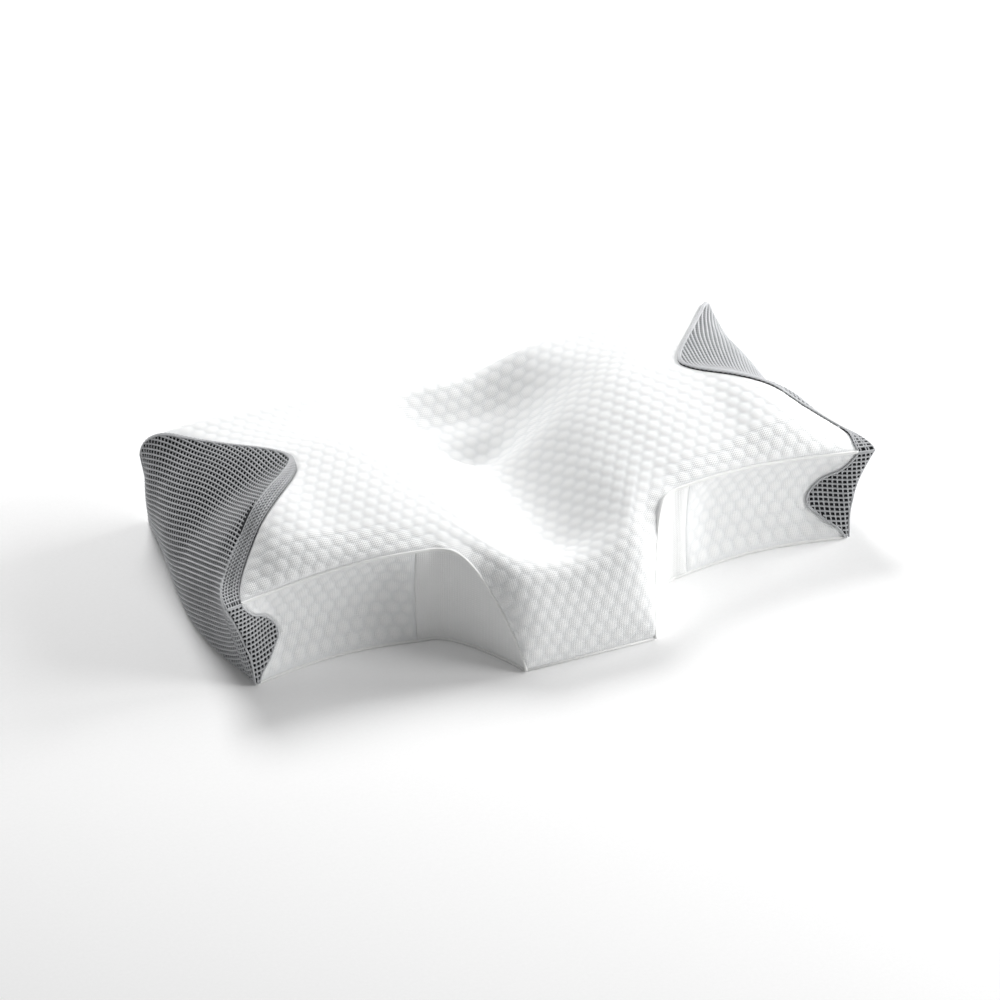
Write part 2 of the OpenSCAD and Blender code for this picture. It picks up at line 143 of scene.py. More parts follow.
def top_z(x, y):
    """Height of the top, before its front and rear edges roll down."""
    a = np.abs(x)
    cy, cz = curve(ROW_X, CREST_Y, a), curve(ROW_X, CREST_Z, a)
    fz, bz = curve(ROW_X, FRONT_Z, a), curve(ROW_X, BACK_Z, a)
    rise = sind(90 * np.clip((y - WING_Y) / (cy - WING_Y), -0.6, 1))
    body = np.where(y < cy, fz + (cz - fz) * rise, cz + (bz - cz) * ease(y, cy, REAR_Y - REAR_ROLL))
    channel = CHANNEL_DEPTH * np.exp(-(x / 50) ** 2) * ease(y, -175, -90) * (1 - ease(y, 50, 110))
    hollow = HOLLOW_DEPTH * np.exp(-((x / 92) ** 2 + ((y - 92) / 48) ** 2) ** 1.4)
    return body - channel - hollow


def top(u, v):
    """Point of the top: u from -1 to 1 across, v from 0 at the front seam to 1 at the rear seam."""
    u, v = np.broadcast_arrays(np.asarray(u, float), np.asarray(v, float))
    a = np.abs(u) * 300
    roll = TONGUE_ROLL + (WING_ROLL - TONGUE_ROLL) * ease(a, 60, 140)
    up, over = 90 * share(v, 0, ROLL_V), 90 * share(v, REAR_V, 1)
    y1, y2 = front_y(a) + roll, REAR_Y - REAR_ROLL
    y = np.where(v < ROLL_V, y1 - roll * cosd(up),
                 np.where(v < REAR_V, y1 + (y2 - y1) * share(v, ROLL_V, REAR_V), y2 + REAR_ROLL * sind(over)))
    x, z0 = u * ridge_x(y), seam_z(a)
    return np.stack([x, y, z0 + (top_z(x, y) - z0) * sind(up) - REAR_ROLL * (1 - cosd(over))], -1)


def drawn_in(d, s, side):
    """Draws an upright corner in, d away from it and s of the way down; side is -1 at the front."""
    k = np.maximum(0, 1 - d / CORNER_R)
    return (CORNER_PULL * k * k * sind(180 * s))[..., None] * np.array([-0.7, -0.7 * side, 0])


def bezier(a, b, c, s):
    s = s[..., None]
    return (1 - s) ** 2 * a + 2 * s * (1 - s) * b + s ** 2 * c


def mesh_side(v, s):
    """Point of the right mesh side: v along the ridge, s from 0 at the ridge to 1 at the base."""
    v, s = np.broadcast_arrays(np.asarray(v, float), np.asarray(s, float))
    r = top(np.ones_like(v), v)
    y = r[..., 1]
    t = share(y, WING_Y, REAR_Y)
    foot = np.stack([curve(FOOT_Y, FOOT_X, y - WING_Y), y - 3 * (1 - share(y, WING_Y, WING_Y + 60)),
                     np.full_like(y, BASE_T)], -1)
    mid = (r + foot) / 2
    bow = (np.maximum(0, sind(180 * t ** 0.85)) ** 0.7)[..., None]
    swell = np.stack([BULGE_X + 15 * ease(t, 0.5, 0.8), y, BULGE_Z + 5 * ease(t, 0.5, 0.8)], -1)
    hip = mid + bow * (swell - mid) + (8 * ease(t, 0.8, 1))[..., None] * np.array([1, 0, 0])
    return bezier(r, hip, foot, s) + drawn_in(y - WING_Y, s, -1) + drawn_in(REAR_Y - y, s, 1)


def front(a, s):
    """Point of the front, right half: a along the front edge, s down from the seam to the base."""
    a, s = np.broadcast_arrays(np.asarray(a, float), np.asarray(s, float))
    p = top(a / 300, np.zeros_like(a))
    far = share(a, WING_START, 300)
    foot = np.stack([np.where(a < WING_START, a, WING_START + (FOOT_X[0] - WING_START) * far),
                     p[..., 1] - 3 * ease(a, WING_START, 300), np.full_like(a, BASE_T)], -1)
    hollow = WAIST * ease(a, 110, 160) * (1 - ease(a, 255, 300)) * 4 * s * (1 - s)
    k = s[..., None]
    return (1 - k) * p + k * foot + hollow[..., None] * np.array([0, 1, 0]) + drawn_in(300 - a, s, -1)


def rear(a, z):
    """Point of the rear wall at signed column a and height z."""
    a, z = np.broadcast_arrays(np.asarray(a, float), np.asarray(z, float))
    side, c = np.where(a < 0, -1.0, 1.0), np.abs(a)
    p = top(c / 300, np.ones_like(c))
    s = 1 - share(z, BASE_T, p[..., 2])
    foot = c / 300 * FOOT_X[-1]
    hip = (p[..., 0] + foot) / 2 + c / 300 * 8
    x = (1 - s) ** 2 * p[..., 0] + 2 * s * (1 - s) * hip + s ** 2 * foot
    q = np.stack([x, p[..., 1], z], -1) + drawn_in(CORNER_X - p[..., 0], s, 1)
    q[..., 0] *= side
    return q


def inside(p, d, low):
    """A layer d inside the surface; nothing of it lies under low."""
    share_z = share(p[..., 2], BASE_T, BASE_T + 25)
    step = np.stack([np.clip(p[..., 0] / 180, -1, 1), np.clip(p[..., 1] / 90, -1, 1), share_z], -1)
    q = p - d * step
    q[..., 2] = np.maximum(q[..., 2], low)
    return q


def drawn_back(p, y):
    """Points of the foam or the liner, moved back from the rear wall to leave the zipper room."""
    by = ZIP_ROOM * ease(y, 144, 166)
    q = np.array(p)
    q[..., 0] -= 0.7 * by * np.clip(q[..., 0] / 180, -1, 1)
    q[..., 1] -= by
    return q


def flipped(p):
    return p * np.array([-1, 1, 1])


def lap(y, wide):
    """How far the mesh laps on to the top, at depth y."""
    return curve([WING_Y, -60, -20, 20, NOTCH_Y + 1, REAR_Y],
                 [300 - LAP_A[0], wide - 2, wide, 2 + 0.55 * (wide - 2), 2, 2], y)


def spread(a, edge):
    """Columns past FIXED_TO squeeze up to the mesh seam."""
    return np.where(a <= FIXED_TO, a, FIXED_TO + (a - FIXED_TO) * (edge - FIXED_TO) / (300 - FIXED_TO))


def top_edge(v, wide):
    p = top(np.ones_like(v), v)
    return 300 * (1 - lap(p[..., 1], wide) / p[..., 0])


# ================= grids to meshes =================
def lengths(grid, axis):
    """Length along the grid's lines in that direction, from its first line."""
    step = np.linalg.norm(np.diff(grid, axis=axis), axis=-1)
    return np.concatenate([np.zeros_like(np.take(step, [0], axis)), np.cumsum(step, axis)], axis)


def edge_distance(grid):
    """Distance of each point from the nearest edge of its panel."""
    along, down = lengths(grid, 0), lengths(grid, 1)
    return np.minimum.reduce([along, along[-1:] - along, down, down[:, -1:] - down])


def outward(grid):
    """Unit normals of the grid, pointing away from the foam."""
    n = np.cross(np.gradient(grid, axis=0), np.gradient(grid, axis=1))
    n /= np.maximum(np.linalg.norm(n, axis=-1, keepdims=True), 1e-9)
    away = np.sum(n * (grid - inside(grid, 1, -100)), -1).mean()
    return n if away > 0 else -n


def hexagons(cloth):
    """How far each point of the flat fabric is from the middle of its cell, 0, to its edge, 1."""
    period = np.array([CELL, CELL * math.sqrt(3)])
    near = [cloth - shift - period * np.round((cloth - shift) / period) for shift in (period * 0, period / 2)]
    d = np.where((np.sum(near[0] ** 2, -1) < np.sum(near[1] ** 2, -1))[..., None], near[0], near[1])
    d = np.abs(d)
    return np.maximum(d[..., 0], d[..., 0] / 2 + d[..., 1] * math.sqrt(3) / 2) / (CELL / 2)


def ripple(cloth, size, seed):
    """Slow uneven waves of the stretched fabric, from -1 to 1."""
    rng = np.random.default_rng(seed)
    total = np.zeros(cloth.shape[:-1])
    for _ in range(9):
        way = rng.normal(size=2)
        way *= 2 * math.pi / size * rng.uniform(0.5, 1.4) / np.linalg.norm(way)
        total += np.sin(cloth @ way + rng.uniform(0, 2 * math.pi))
    return total / 6


def new_object(name, verts, faces, material, uv=None, marks=None, merge=True):
    """A mesh object in metres from points in millimetres; uv and marks hold a value for each point."""
    mesh = bpy.data.meshes.new(name)
    mesh.from_pydata((np.asarray(verts) * MM).tolist(), [], faces)
    if uv is not None:
        loops = np.empty(len(mesh.loops), dtype=np.int32)
        mesh.loops.foreach_get("vertex_index", loops)
        mesh.uv_layers.new(name="cloth").data.foreach_set("uv", np.asarray(uv, np.float32)[loops].ravel())
    if marks is not None:
        relief = mesh.attributes.new("relief", "FLOAT", "POINT")
        relief.data.foreach_set("value", np.asarray(marks, np.float32))
    obj = bpy.data.objects.new(name, mesh)
    bpy.context.scene.collection.objects.link(obj)
    mesh.materials.append(material)
    if merge:
        bm = bmesh.new()
        bm.from_mesh(mesh)
        bmesh.ops.remove_doubles(bm, verts=bm.verts, dist=2e-6)
        bmesh.ops.dissolve_degenerate(bm, edges=bm.edges, dist=1e-6)
        bmesh.ops.recalc_face_normals(bm, faces=bm.faces)
        bm.to_mesh(mesh)
        bm.free()
    mesh.shade_smooth()
    return obj


def quads(n, m, first=0):
    """Faces of a grid of n rows of m points."""
    i, j = np.meshgrid(np.arange(n - 1), np.arange(m - 1), indexing="ij")
    a = (first + i * m + j).ravel()
    return np.stack([a, a + m, a + m + 1, a + 1], -1).tolist()


def panel(name, grid, cloth, material, quilted, coarse=6, thick=COVER_T, seed=1):
    """A fabric panel with a fine face and a coarse back, closed round its edges.

    Its rows and columns come in multiples of coarse: that many steps of the face make one of the back."""
    n, m = grid.shape[:2]
    far = edge_distance(grid)
    cells = hexagons(cloth)
    grown = ease(far, 0.5, FADE_W)
    relief = (1 - cells ** 2.2) * grown if quilted else np.full((n, m), 0.5)
    lift = (CELL_LIFT * (relief - 0.45) * grown if quilted else 0) - TUCK * np.exp(-(far / TUCK_W) ** 2)
    lift = lift + 0.35 * ripple(cloth, 70, seed) * grown
    face = grid + outward(grid) * lift[..., None]
    face[..., 2] = np.maximum(face[..., 2], np.minimum(grid[..., 2], BASE_T))
    back = inside(grid[::coarse, ::coarse], thick, BASE_T)
    bn, bm_ = back.shape[:2]
    count = n * m
    faces = quads(n, m) + quads(bn, bm_, count)

    def rim(at, back_at, steps):
        for k in range(steps):
            faces.append([at(k * coarse + t) for t in range(coarse + 1)] + [back_at(k + 1), back_at(k)])

    rim(lambda t: t, lambda k: count + k, bm_ - 1)
    rim(lambda t: (n - 1) * m + t, lambda k: count + (bn - 1) * bm_ + k, bm_ - 1)
    rim(lambda t: t * m, lambda k: count + k * bm_, bn - 1)
    rim(lambda t: t * m + m - 1, lambda k: count + k * bm_ + bm_ - 1, bn - 1)
    verts = np.concatenate([face.reshape(-1, 3), back.reshape(-1, 3)])
    uv = np.concatenate([cloth.reshape(-1, 2), cloth[::coarse, ::coarse].reshape(-1, 2)]) * MM
    # the cells' relief goes to the knit's colour, which paints shade into the grooves from it
    marks = np.concatenate([relief.ravel(), np.full(bn * bm_, 0.5)])
    obj = new_object(name, verts, faces, material, uv, marks)
    return obj, face


def tube(name, path, radius, material, sides=10, closed=False):
    """A round cord through points in millimetres, its UV running along and round it in metres."""
    path = np.asarray(path, float)
    ahead, behind = np.roll(path, -1, 0), np.roll(path, 1, 0)
    if not closed:
        ahead[-1], behind[0] = path[-1], path[0]
    way = ahead - behind
    way /= np.linalg.norm(way, axis=1, keepdims=True)
    b = np.cross(way, [0.1, 0.2, 1])
    b /= np.linalg.norm(b, axis=1, keepdims=True)
    c = np.cross(b, way)
    turn = np.linspace(0, 2 * math.pi, sides, endpoint=False)
    spoke = np.cos(turn)[None, :, None] * b[:, None] + np.sin(turn)[None, :, None] * c[:, None]
    ring = path[:, None] + radius * spoke
    n = len(path)
    faces = []
    for i in range(n if closed else n - 1):
        for k in range(sides):
            j, l = (i + 1) % n, (k + 1) % sides
            faces.append([i * sides + k, j * sides + k, j * sides + l, i * sides + l])
    if not closed:
        faces += [list(range(sides)), [(n - 1) * sides + k for k in range(sides)]]
    run = np.concatenate([[0], np.cumsum(np.linalg.norm(np.diff(path, axis=0), axis=1))])
    uv = np.stack([np.repeat(run, sides), np.tile(turn * radius, n)], -1) * MM
    return new_object(name, ring.reshape(-1, 3), faces, material, uv)


# ================= materials =================
def linear(hexcode):
    """An sRGB hex colour as linear RGBA."""
    values = [int(hexcode[i:i + 2], 16) / 255 for i in (1, 3, 5)]
    return [v / 12.92 if v <= 0.04045 else ((v + 0.055) / 1.055) ** 2.4 for v in values] + [1]


def add(tree, kind, inputs=None, **settings):
    """Adds a node; inputs maps a socket's name or number to a value or to another node's output."""
    node = tree.nodes.new(kind)
    for key, value in settings.items():
        setattr(node, key, value)
    for key, value in (inputs or {}).items():
        if isinstance(value, bpy.types.NodeSocket):
            tree.links.new(value, node.inputs[key])
        else:
            node.inputs[key].default_value = value
    return node


def material(name, **shader):
    """An empty material with one Principled shader, and its tree."""
    made = bpy.data.materials.new(name)
    made.use_nodes = True
    tree = made.node_tree
    bsdf = tree.nodes["Principled BSDF"]
    for key, value in shader.items():
        bsdf.inputs[key.replace("_", " ")].default_value = value
    return made, tree, bsdf


def blend(tree, share_of_light, dark, light):
    """A colour between a dark and a light one."""
    return add(tree, "ShaderNodeMix", {0: share_of_light, 6: linear(dark), 7: linear(light)},
               data_type="RGBA").outputs[2]


def math_node(tree, operation, a, b=0.0):
    return add(tree, "ShaderNodeMath", {0: a, 1: b}, operation=operation).outputs[0]


def cloth_uv(tree):
    """The fabric's own coordinates in metres, apart."""
    uv = add(tree, "ShaderNodeUVMap", uv_map="cloth").outputs[0]
    parts = add(tree, "ShaderNodeSeparateXYZ", {0: uv})
    return uv, parts.outputs[0], parts.outputs[1]


def ribs(tree, along, pitch, sharp=1.0):
    """A wave from 0 to 1 with that pitch in metres."""
    turn = math_node(tree, "MULTIPLY", along, 2 * math.pi / pitch)
    wave = math_node(tree, "MULTIPLY_ADD", math_node(tree, "SINE", turn), 0.5)
    wave.node.inputs[2].default_value = 0.5
    return math_node(tree, "POWER", wave, sharp) if sharp != 1 else wave


def knit(name, light, dark, rib, bump, relief=True):
    """Bamboo-viscose knit: dull, soft-edged highlights, fine upright ribs crossed by courses of loops,
    and in the quilted kind painted shade, the grooves between the cells coloured darker than the cells."""
    made, tree, bsdf = material(name, Roughness=0.86, IOR=1.5, Sheen_Weight=0.18, Sheen_Roughness=0.6)
    uv, x, y = cloth_uv(tree)
    loops = math_node(tree, "MULTIPLY", ribs(tree, x, rib), ribs(tree, y, rib * 1.25))
    fuzz = add(tree, "ShaderNodeTexNoise", {"Vector": uv, "Scale": 900.0, "Detail": 2.0}).outputs[0]
    cloud = add(tree, "ShaderNodeTexNoise", {"Vector": uv, "Scale": 14.0, "Detail": 2.0}).outputs[0]
    tone = math_node(tree, "MULTIPLY_ADD", loops, 0.10)
    tone.node.inputs[2].default_value = 0.0
    tone = math_node(tree, "ADD", tone, math_node(tree, "MULTIPLY", cloud, 0.22))
    if relief:
        # painted shade: the cells' height lightens the raised cells and darkens the grooves between them
        cell_height_for_painted_shade = add(tree, "ShaderNodeAttribute", attribute_name="relief").outputs["Fac"]
        tone = math_node(tree, "ADD", tone, math_node(tree, "MULTIPLY", cell_height_for_painted_shade, 0.5))
    else:
        tone = math_node(tree, "ADD", tone, 0.45)
    colour = blend(tree, tone, dark, light)
    height = math_node(tree, "ADD", loops, math_node(tree, "MULTIPLY", fuzz, 0.5))
    normal = add(tree, "ShaderNodeBump", {"Strength": 0.55, "Distance": bump, "Height": height}).outputs[0]
    tree.links.new(colour, bsdf.inputs["Base Color"])
    tree.links.new(normal, bsdf.inputs["Normal"])
    return made


def yarn(name, light, dark, roughness=0.7, grain=2500.0):
    """Spun or textured polyester yarn: satin, with uneven light and dark filaments."""
    made, tree, bsdf = material(name, Roughness=roughness, IOR=1.5, Sheen_Weight=0.15)
    place = add(tree, "ShaderNodeTexCoord").outputs["Object"]
    noise = add(tree, "ShaderNodeTexNoise", {"Vector": place, "Scale": grain, "Detail": 2.0}).outputs[0]
    slow = add(tree, "ShaderNodeTexNoise", {"Vector": place, "Scale": 60.0, "Detail": 1.0}).outputs[0]
    both = math_node(tree, "ADD", math_node(tree, "MULTIPLY", noise, 0.7),
                     math_node(tree, "MULTIPLY", slow, 0.4))
    colour = blend(tree, both, dark, light)
    normal = add(tree, "ShaderNodeBump", {"Strength": 0.4, "Distance": 0.0002, "Height": noise}).outputs[0]
    tree.links.new(colour, bsdf.inputs["Base Color"])
    tree.links.new(normal, bsdf.inputs["Normal"])
    return made


def tape_weave():
    """Woven polyester zipper tape: a fine herringbone with a satin face."""
    made, tree, bsdf = material("woven_polyester_tape", Roughness=0.62, IOR=1.5, Sheen_Weight=0.1)
    uv, x, y = cloth_uv(tree)
    fold = math_node(tree, "PINGPONG", y, 0.0015)
    weave = ribs(tree, math_node(tree, "ADD", x, fold), 0.0012)
    colour = blend(tree, weave, "#d9dadb", "#f3f3f2")
    normal = add(tree, "ShaderNodeBump", {"Strength": 0.6, "Distance": 0.0002, "Height": weave}).outputs[0]
    tree.links.new(colour, bsdf.inputs["Base Color"])
    tree.links.new(normal, bsdf.inputs["Normal"])
    return made


def plated_zinc():
    """Die-cast zinc with a nickel plate: bright, a little uneven, with fine handling marks."""
    made, tree, bsdf = material("nickel_plated_zinc", Metallic=1.0)
    place = add(tree, "ShaderNodeTexCoord").outputs["Object"]
    stretched = add(tree, "ShaderNodeMapping", {0: place, "Scale": (300, 2500, 2500)}).outputs[0]
    marks = add(tree, "ShaderNodeTexNoise", {"Vector": stretched, "Scale": 1.0, "Detail": 3.0}).outputs[0]
    rough = add(tree, "ShaderNodeMapRange", {0: marks, 3: 0.22, 4: 0.42}).outputs[0]
    colour = blend(tree, marks, "#a9abac", "#d4d5d3")
    tree.links.new(colour, bsdf.inputs["Base Color"])
    tree.links.new(rough, bsdf.inputs["Roughness"])
    return made


def memory_foam():
    """Slow-recovery polyurethane foam: creamy, dull, with a skin of fine open pores."""
    made, tree, bsdf = material("memory_foam", Roughness=0.9, IOR=1.45)
    place = add(tree, "ShaderNodeTexCoord").outputs["Object"]
    pores = add(tree, "ShaderNodeTexVoronoi", {"Vector": place, "Scale": 700.0}).outputs[0]
    colour = blend(tree, pores, "#d9cfae", "#f1e9cf")
    normal = add(tree, "ShaderNodeBump", {"Strength": 0.5, "Distance": 0.0004, "Height": pores}).outputs[0]
    tree.links.new(colour, bsdf.inputs["Base Color"])
    tree.links.new(normal, bsdf.inputs["Normal"])
    return made


def spacer_ground_painted_shade():
    """The sheet seen through the air mesh's holes, painted near-black as the shade deep in the holes: matt,
    with a fine knit grain.
    """
    made, tree, bsdf = material("air_mesh_ground_painted_shade", Roughness=0.95, IOR=1.45)
    uv, x, y = cloth_uv(tree)
    grain = math_node(tree, "MULTIPLY", ribs(tree, x, 0.0014), ribs(tree, y, 0.0014))
    # painted shade: the near-black colour stands for the shade inside the mesh's holes
    colour = blend(tree, grain, "#202124", "#3c3d40")
    normal = add(tree, "ShaderNodeBump", {"Strength": 0.5, "Distance": 0.0004, "Height": grain}).outputs[0]
    tree.links.new(colour, bsdf.inputs["Base Color"])
    tree.links.new(normal, bsdf.inputs["Normal"])
    return made


# the darker colour is also painted into the grooves between the cells as shade
quilted_knit = knit("quilted_knit_white", "#fbfbfa", "#e6e8e9", 0.0016, 0.0004)
plain_knit = knit("plain_knit_white", "#f6f6f4", "#dadcde", 0.0016, 0.0004, relief=False)
jersey = knit("liner_jersey_white", "#f4f3ee", "#d8d7d2", 0.0014, 0.0003, relief=False)
base_knit = knit("base_knit_white", "#efefed", "#cfd1d3", 0.0022, 0.0006, relief=False)
welt_yarn = yarn("welt_binding_white", "#fafaf8", "#dfe0e0", 0.8, 1500.0)
net_yarn = yarn("air_mesh_yarn_grey", "#d3d4d6", "#9a9c9f", 0.6)
thread = yarn("sewing_thread_white", "#fafafa", "#d4d5d6", 0.55)
coil_nylon = yarn("coil_nylon_white", "#f4f4f3", "#dcdcdb", 0.35, 600.0)
foam = memory_foam()
ground = spacer_ground_painted_shade()
woven_tape = tape_weave()
zinc = plated_zinc()


# ================= what repeats =================
def node_group(name, extra):
    """A geometry tree with a Geometry input and output, and these further named inputs."""
    tree = bpy.data.node_groups.new(name, "GeometryNodeTree")
    tree.interface.new_socket("Geometry", in_out="INPUT", socket_type="NodeSocketGeometry")
    tree.interface.new_socket("Geometry", in_out="OUTPUT", socket_type="NodeSocketGeometry")
    for label, kind in extra:
        tree.interface.new_socket(label, in_out="INPUT", socket_type=kind)
    return tree, add(tree, "NodeGroupInput").outputs, add(tree, "NodeGroupOutput")


def finish_tree(tree, geometry, finish, out):
    real = add(tree, "GeometryNodeRealizeInstances", {0: geometry}).outputs[0]
    done = add(tree, "GeometryNodeSetMaterial", {"Geometry": real, "Material": finish}).outputs[0]
    tree.links.new(done, out.inputs[0])


def strands_tree():
    """Guide lines to round strands: lines marked as courses are thicker than the others."""
    tree, given, out = node_group("strands", [("Course radius", "NodeSocketFloat"),
                                              ("Wale radius", "NodeSocketFloat"),
                                              ("Finish", "NodeSocketMaterial")])
    course = add(tree, "GeometryNodeInputNamedAttribute", {"Name": "course"}, data_type="BOOLEAN").outputs[0]
    other = add(tree, "FunctionNodeBooleanMath", {0: course}, operation="NOT").outputs[0]
    join = add(tree, "GeometryNodeJoinGeometry")
    for chosen, radius in ((course, "Course radius"), (other, "Wale radius")):
        line = add(tree, "GeometryNodeMeshToCurve", {"Mesh": given["Geometry"], "Selection": chosen}).outputs[0]
        ring = add(tree, "GeometryNodeCurvePrimitiveCircle", {"Resolution": 6, "Radius": given[radius]})
        strand = add(tree, "GeometryNodeCurveToMesh",
                     {"Curve": line, "Profile Curve": ring.outputs[0], "Fill Caps": True})
        tree.links.new(strand.outputs[0], join.inputs[0])
    finish_tree(tree, join.outputs[0], given["Finish"], out)
    return tree


def stitches_tree():
    """Guide lines to a row of long rounded stitches, also used for the coil's teeth."""
    tree, given, out = node_group("stitches", [("Pitch", "NodeSocketFloat"), ("Size", "NodeSocketVector"),
                                               ("Finish", "NodeSocketMaterial")])
    line = add(tree, "GeometryNodeMeshToCurve", {"Mesh": given["Geometry"]}).outputs[0]
    points = add(tree, "GeometryNodeCurveToPoints", {"Curve": line, "Length": given["Pitch"]}, mode="LENGTH")
    turned = add(tree, "FunctionNodeAlignRotationToVector", {"Vector": points.outputs["Tangent"]}, axis="Z")
    ball = add(tree, "GeometryNodeMeshUVSphere", {"Segments": 6, "Rings": 5, "Radius": 0.5}).outputs[0]
    placed = add(tree, "GeometryNodeInstanceOnPoints",
                 {"Points": points.outputs[0], "Instance": ball, "Rotation": turned.outputs[0],
                  "Scale": given["Size"]})
    finish_tree(tree, placed.outputs[0], given["Finish"], out)
    return tree


strands = strands_tree()
stitches = stitches_tree()


def grown(name, lines, marks, tree, **inputs):
    """The mesh that a geometry tree grows on lines given in millimetres."""
    verts, edges, flags = [], [], []
    for line, mark in zip(lines, marks):
        start = len(verts)
        verts += [tuple(float(c) * MM for c in p) for p in line]
        edges += [(start + k, start + k + 1) for k in range(len(line) - 1)]
        flags += [mark] * (len(line) - 1)
    guide = bpy.data.meshes.new(name + "_guide")
    guide.from_pydata(verts, edges, [])
    guide.attributes.new("course", "BOOLEAN", "EDGE").data.foreach_set("value", flags)
    holder = bpy.data.objects.new(name + "_guide", guide)
    bpy.context.scene.collection.objects.link(holder)
    modifier = holder.modifiers.new("grow", "NODES")
    modifier.node_group = tree
    sockets = {s.name: s.identifier for s in tree.interface.items_tree if s.in_out == "INPUT"}
    for label, value in inputs.items():
        modifier[sockets[label.replace("_", " ")]] = value
    bpy.context.view_layer.update()
    graph = bpy.context.evaluated_depsgraph_get()
    mesh = bpy.data.meshes.new_from_object(holder.evaluated_get(graph))
    bpy.data.objects.remove(holder)
    obj = bpy.data.objects.new(name, mesh)
    mesh.name = name
    bpy.context.scene.collection.objects.link(obj)
    mesh.shade_smooth()
    return obj


NET_WAVE, NET_LIFT = 0.35, 0.9      # how far the strands weave up and down, and stand above the ground
FINE = 4                            # slices for each wale


def along_line(points, at, start):
    """Points of a line, with their normals, at distances from a place that far along it."""
    run = np.concatenate([[0], np.cumsum(np.linalg.norm(np.diff(points[:, :3], axis=0), axis=1))])
    at = at[(at + start >= 0) & (at + start <= run[-1])]
    return at, np.stack([np.interp(at + start, run, points[:, k]) for k in range(6)], -1)


def lifted(points, swing):
    return points[:, :3] + points[:, 3:] * (NET_LIFT + NET_WAVE * swing)[:, None]


def net_lines(grid, along):
    """Guide lines of a net on a panel: wales are slices square to one direction, a pitch apart, and
    courses cross them, a pitch apart as measured on the fabric. All of them end at the panel's edge."""
    along = np.asarray(along, float) / np.linalg.norm(along)
    data = np.concatenate([grid, outward(grid)], -1)
    place = grid @ along
    if place[-1].mean() < place[0].mean():
        data, place = data[::-1], place[::-1]
    place = np.maximum.accumulate(place, 0)
    fall = (grid[:, -1] - grid[:, 0]).mean(0)
    fall -= along * (fall @ along)
    fall /= np.linalg.norm(fall)
    level = (grid @ fall).mean()
    gap = NET_WALE / FINE
    steps = np.arange(math.ceil(place.min() / gap), math.floor(place.max() / gap) + 1)
    lines, marks, courses = [], [], {}
    for step in steps:
        here = [j for j in range(grid.shape[1]) if place[0, j] <= step * gap <= place[-1, j]]
        if len(here) < 2:
            continue
        cut = np.array([[np.interp(step * gap, place[:, j], data[:, j, k]) for k in range(6)] for j in here])
        run = np.concatenate([[0], np.cumsum(np.linalg.norm(np.diff(cut[:, :3], axis=0), axis=1))])
        depth = np.maximum.accumulate(cut[:, :3] @ fall)
        zero = np.interp(level, depth, run) + min(0, level - depth[0]) + max(0, level - depth[-1])
        count = np.arange(-60, 61)
        at, points = along_line(cut, count * NET_COURSE, zero)
        for k, point in zip(np.round(at / NET_COURSE).astype(int), points):
            courses.setdefault(k, []).append((step, point))
        if step % FINE == 0:
            ends = [-zero, run[-1] - zero]
            at, points = along_line(cut, np.sort(np.append(count * NET_COURSE / 2, ends)), zero)
            if len(points) > 1:
                lines.append(lifted(points, -np.cos(2 * math.pi * at / NET_COURSE)))
                marks.append(False)
    for course in courses.values():
        breaks = [i for i in range(1, len(course)) if course[i][0] != course[i - 1][0] + 1
                  or np.linalg.norm(course[i][1][:3] - course[i - 1][1][:3]) > LONGEST_STRAND]
        runs = np.split(np.arange(len(course)), breaks)
        for run in runs:
            kept = [i for i in run if course[i][0] % 2 == 0 or i in (run[0], run[-1])]
            if len(kept) > 1:
                points = np.array([course[i][1] for i in kept])
                swing = np.cos(2 * math.pi * np.array([course[i][0] for i in kept]) / FINE)
                lines.append(lifted(points, swing))
                marks.append(True)
    return lines, marks


def lap_lines(grid):
    """Guide lines on a narrow strip: courses straight across it, wales along it."""
    data = np.concatenate([grid, outward(grid)], -1)
    total = lengths(grid[:, -1:], 0)[-1, 0]
    rows_at = np.arange(0, total, NET_COURSE / 2)
    across = np.stack([along_line(data[:, j], rows_at * lengths(grid[:, j:j + 1], 0)[-1, 0] / total, 0)[1]
                       for j in range(grid.shape[1])], 1)
    lines = [lifted(row, np.zeros(len(row))) for row in across[::2]]
    marks = [True] * len(lines)
    swing = -np.cos(math.pi * np.arange(len(across)))
    wide = lengths(grid, 1)[:, -1].max()
    for j in np.linspace(0, grid.shape[1] - 1, 2 + int(wide / NET_WALE)).astype(int):
        lines.append(lifted(across[:, j], swing))
        marks.append(False)
    return lines, marks


def hem_line(grid, edge):
    """A strand along a panel's edge, where the cut ends of the net are sewn down."""
    data = np.concatenate([grid, outward(grid)], -1)
    row = data[0] if edge == "front" else data[:, 0] if edge == "ridge" else data[-1]
    total = lengths(row[None, :, :3], 1)[0, -1]
    points = along_line(row, np.linspace(0, total, 2 + int(total / NET_COURSE)), 0)[1]
    return lifted(points, np.zeros(len(points)))


# ================= pieces =================
half = np.concatenate([np.linspace(0, TONGUE_X, 37)[:-1],
                       TONGUE_X + (WING_START - TONGUE_X) * np.linspace(0, 1, 43)[:-1] ** 1.6,
                       np.linspace(WING_START, 300, 106)])
columns = np.concatenate([-half[:0:-1], half])
rows = np.concatenate([np.linspace(0, ROLL_V, 67)[:-1], np.linspace(ROLL_V, REAR_V, 163)[:-1],
                       np.linspace(REAR_V, 1, 31)])


def eased_tongue(grid, v, turns=170):
    """Rounds the fold where the tongue's front meets its sides, as knit stretched over foam does.

    Each turn moves the columns near the tongue's edge a little towards their neighbours."""
    a = np.abs(columns)[1:-1, None]
    near = ease(a, 30, 56) * (1 - ease(a, 70, 110)) * ease(v, 0, 0.05) * (1 - ease(v, 0.2, 0.5))
    for _ in range(turns):
        grid[1:-1] += 0.5 * near[..., None] * (grid[:-2] + grid[2:] - 2 * grid[1:-1]) / 2
    return grid


